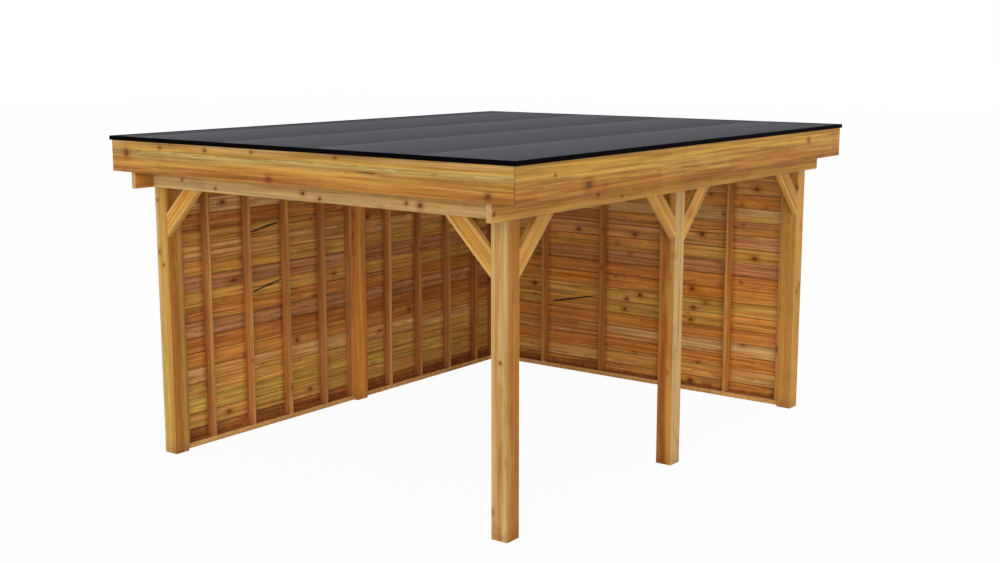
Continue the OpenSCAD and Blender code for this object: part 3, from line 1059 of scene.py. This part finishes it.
def board_screws(finish):
    """One screw in each wall board at every stud, on the outside just above the drip edge."""
    places, facing = [], []
    for wall in ("left_front", "left_back", "back"):
        low, high = extent("cladding_" + wall)
        run = int(np.argmax((high - low)[:2]))
        out_axis = 1 - run
        out = np.eye(3)[out_axis] * (1 if wall == "back" else -1)
        face = (high if wall == "back" else low)[out_axis]
        tall = (high[2] - low[2]) / BOARD_ROW
        if wall == "back":
            middles = list(BACK_STUDS)
        else:
            middles = [(-1 if wall == "left_front" else 1) * SIDE_STUD_PITCH * k for k in (1, 2, 3, 4)]
        middles += [low[run] + 0.0225, high[run] - 0.0225]
        for middle in middles:
            for number in range(BOARD_ROW):
                spot = np.zeros(3)
                spot[run] = middle
                spot[out_axis] = face - out[out_axis] * 0.0028
                spot[2] = low[2] + tall * number + 0.038
                places.append(spot)
                facing.append(out)
    return screw_heads("screws_boards", places, facing, finish, 0.004)


# ================================================================ stage
def floor():
    """A plain white floor. Seen straight, or in a reflection, it is nearly all white light and only a
    little real shading, so that the shadow stays faint."""
    made, net, shader = blank("Studio floor")
    shader.inputs["Base Color"].default_value = (0.92, 0.92, 0.92, 1)
    shader.inputs["Roughness"].default_value = 0.9
    glow = net.add("Emission")
    glow.inputs["Strength"].default_value = 1.0
    seen = net.add("LightPath").outputs
    direct = net.math("MAXIMUM", seen["Is Camera Ray"],
                      net.math("MAXIMUM", seen["Is Glossy Ray"], seen["Is Transmission Ray"]))
    both = net.add("MixShader")
    net.feed(both.inputs[0], net.math("MULTIPLY", direct, 0.96))
    net.feed(both.inputs[1], shader.outputs[0])
    net.feed(both.inputs[2], glow.outputs[0])
    out = next(n for n in made.node_tree.nodes if n.type == "OUTPUT_MATERIAL")
    net.feed(out.inputs["Surface"], both.outputs[0])
    mesh = bpy.data.meshes.new("studio_floor")
    s = 60.0
    mesh.from_pydata([(-s, -s, -0.0005), (s, -s, -0.0005), (s, s, -0.0005), (-s, s, -0.0005)], [],
                     [(0, 1, 2, 3)])
    mesh.materials.append(made)
    plane = bpy.data.objects.new("studio_floor", mesh)
    bpy.context.scene.collection.objects.link(plane)


def world_light(strength):
    """White all round: full white where it is seen, and the given strength where it lights."""
    world = bpy.data.worlds.new("Studio")
    bpy.context.scene.world = world
    world.use_nodes = True
    world.node_tree.nodes.clear()
    net = Net(world.node_tree)
    seen = net.add("LightPath").outputs
    direct = net.math("MAXIMUM", seen["Is Camera Ray"],
                      net.math("MAXIMUM", seen["Is Glossy Ray"], seen["Is Transmission Ray"]))
    sky = net.add("Background")
    sky.inputs["Color"].default_value = (1, 1, 1, 1)
    net.feed(sky.inputs["Strength"], net.span(direct, 0.0, 1.0, strength, 1.0, smooth=False))
    out = net.add("OutputWorld")
    net.feed(out.inputs["Surface"], sky.outputs[0])


def soft_sun(name, strength, turn, spread):
    """A broad sun: strength in watts a square metre, turned as given in degrees."""
    lamp = bpy.data.lights.new(name, "SUN")
    lamp.energy = strength
    lamp.angle = math.radians(spread)
    made = bpy.data.objects.new(name, lamp)
    made.rotation_euler = [math.radians(a) for a in turn]
    bpy.context.scene.collection.objects.link(made)


def camera():
    """The viewing point: in front and to the right, a little above eye level."""
    lens = bpy.data.cameras.new("camera")
    lens.sensor_width = 36.0
    lens.lens = 49.61
    made = bpy.data.objects.new("camera", lens)
    made.location = (7.3006, -9.6525, 3.4420)
    made.rotation_euler = (math.pi / 2 - 0.1717, 0.0, 0.6473)
    bpy.context.scene.collection.objects.link(made)
    bpy.context.scene.camera = made


# ================================================================ the object
# The lowest board's dark stains, russet with umber streaks on the left wall and umber streaks on the back, are
# partly painted shade at the foot of the wall.
LEFT_ROWS = ("russet olive olive olive tan caramel russet clay copper olive "
             "clay caramel tan olive russet sand caramel")
LEFT_STREAKS = ("umber tan lime amber biscuit copper copper rose caramel ochre "
                "rose lime biscuit copper caramel ochre tan")
BACK_ROWS = ("caramel tan copper sand copper olive olive caramel copper clay "
             "olive tan clay olive copper ochre caramel")
BACK_STREAKS = ("umber biscuit copper copper copper caramel tan flame copper clay "
                "caramel rose caramel wheat caramel tan olive")
LEFT_KNOTS = [
    ((-1.785, -1.626, 2.081), (0.03, 0.034, 0.022)), ((-1.785, -1.527, 1.376), (0.03, 0.06, 0.018)),
    ((-1.785, -1.626, 0.212), (0.03, 0.034, 0.02)), ((-1.785, -0.618, 0.209), (0.03, 0.032, 0.016)),
    ((-1.785, 0.822, 0.755), (0.03, 0.03, 0.022)), ((-1.785, -0.768, 0.710), (0.03, 0.026, 0.02))]
LEFT_SHAKES = [
    ((-1.785, -1.345, 1.778), (-1.785, -0.94, 1.845), 0.011),
    ((-1.785, -1.335, 1.238), (-1.785, -0.93, 1.314), 0.011)]
BACK_KNOTS = [
    ((-1.254, 2.285, 0.881), (0.036, 0.03, 0.024)), ((-0.690, 2.285, 1.514), (0.03, 0.03, 0.022)),
    ((0.0, 2.285, 1.514), (0.032, 0.03, 0.022)), ((0.075, 2.285, 0.893), (0.03, 0.03, 0.024)),
    ((-0.087, 2.285, 0.836), (0.024, 0.03, 0.02)), ((0.771, 2.285, 1.580), (0.034, 0.03, 0.022)),
    ((0.675, 2.285, 1.025), (0.03, 0.03, 0.02)), ((0.696, 2.285, 0.836), (0.03, 0.03, 0.022)),
    ((1.350, 2.285, 1.391), (0.034, 0.03, 0.022)), ((1.350, 2.285, 2.060), (0.03, 0.03, 0.02)),
    ((0.678, 2.285, 0.089), (0.026, 0.03, 0.02))]
BACK_SHAKES = [((-1.06, 2.285, 0.700), (-0.47, 2.285, 0.828), 0.012)]


def build():
    for name in POST_FACES:
        post(name)
    for name in BEAM_FACES:
        beam(name)
    for name in FASCIA_BANDS:
        fascia(name)
    plank = softwood("Brace timber", ("sand gold honey sand", "honey gold", "sand ochre gold sand",
                                      "honey gold"), depth=0.7, density=0.2, lift=1.4)
    for name in BRACES:
        brace(name, plank)
    # Lifts above 1 on studs, rails and wall boards brighten timbers that stand in shade inside the walls:
    # painted light.
    side_stud = softwood("Side stud timber", ("copper caramel copper", "caramel tan", "clay copper rose clay",
                                              "tan rose sand honey tan"), depth=0.5, tone=0.6, lift=1.4)
    back_stud = softwood("Back stud timber", ("tan caramel", "copper caramel", "rose tan sand tan copper",
                                              "copper tan copper"), depth=0.5, tone=0.4, lift=1.4)
    side_rail = softwood("Side rail timber", ("wheat sand honey", "tan", "tan caramel", "copper umber"),
                         depth=0.4, tone=0.1, lift=1.6)
    back_rail = softwood("Back rail timber", ("copper umber", "wheat sand honey", "tan", "tan"),
                         depth=0.4, tone=0.1, lift=1.6)
    for wall in ("left_front", "left_back"):
        rails_and_studs(wall, side_rail, side_stud)
    rails_and_studs("back", back_rail, back_stud)
    left = boarding("Left wall boards", LEFT_ROWS, LEFT_STREAKS, LEFT_KNOTS, LEFT_SHAKES,
                    1, SIDE_STUD_PITCH, 0.0, lift=1.42)
    back = boarding("Back wall boards", BACK_ROWS, BACK_STREAKS, BACK_KNOTS, BACK_SHAKES,
                    0, BACK_STUDS[3] - BACK_STUDS[2], BACK_STUDS[2], lift=1.72)
    boards_of("left_front", left)
    boards_of("left_back", left)
    boards_of("back", back)
    roof_joists(softwood("Joist timber", ("ochre tan", "tan honey", "ochre tan", "honey tan ochre"),
                         depth=0.5, tone=0.4))
    roof_deck(softwood("Deck boards", ("honey ochre", "honey tan", "tan honey", "ochre honey"),
                       depth=0.5, tone=0.5))
    felt(roofing_felt())
    trim = coated_metal("Black edge trim", (5, 4, 4), (13, 12, 12), rough=0.55, gloss=0.012)
    for side in SIDES:
        edge_trim("trim_" + side, trim)
    plated = coated_metal("Plated screws", (168, 164, 150), (120, 112, 96), metallic=0.8, rough=0.34)
    brace_screws(plated)
    board_screws(plated)


build()
floor()
world_light(0.6)
soft_sun("sun", 0.45, (48, 0, 32), 35)
soft_sun("low_fill", 1.75, (79, 0, 40), 70)
camera()
bpy.context.scene.view_settings.view_transform = "Standard"

bpy.context.view_layer.update()
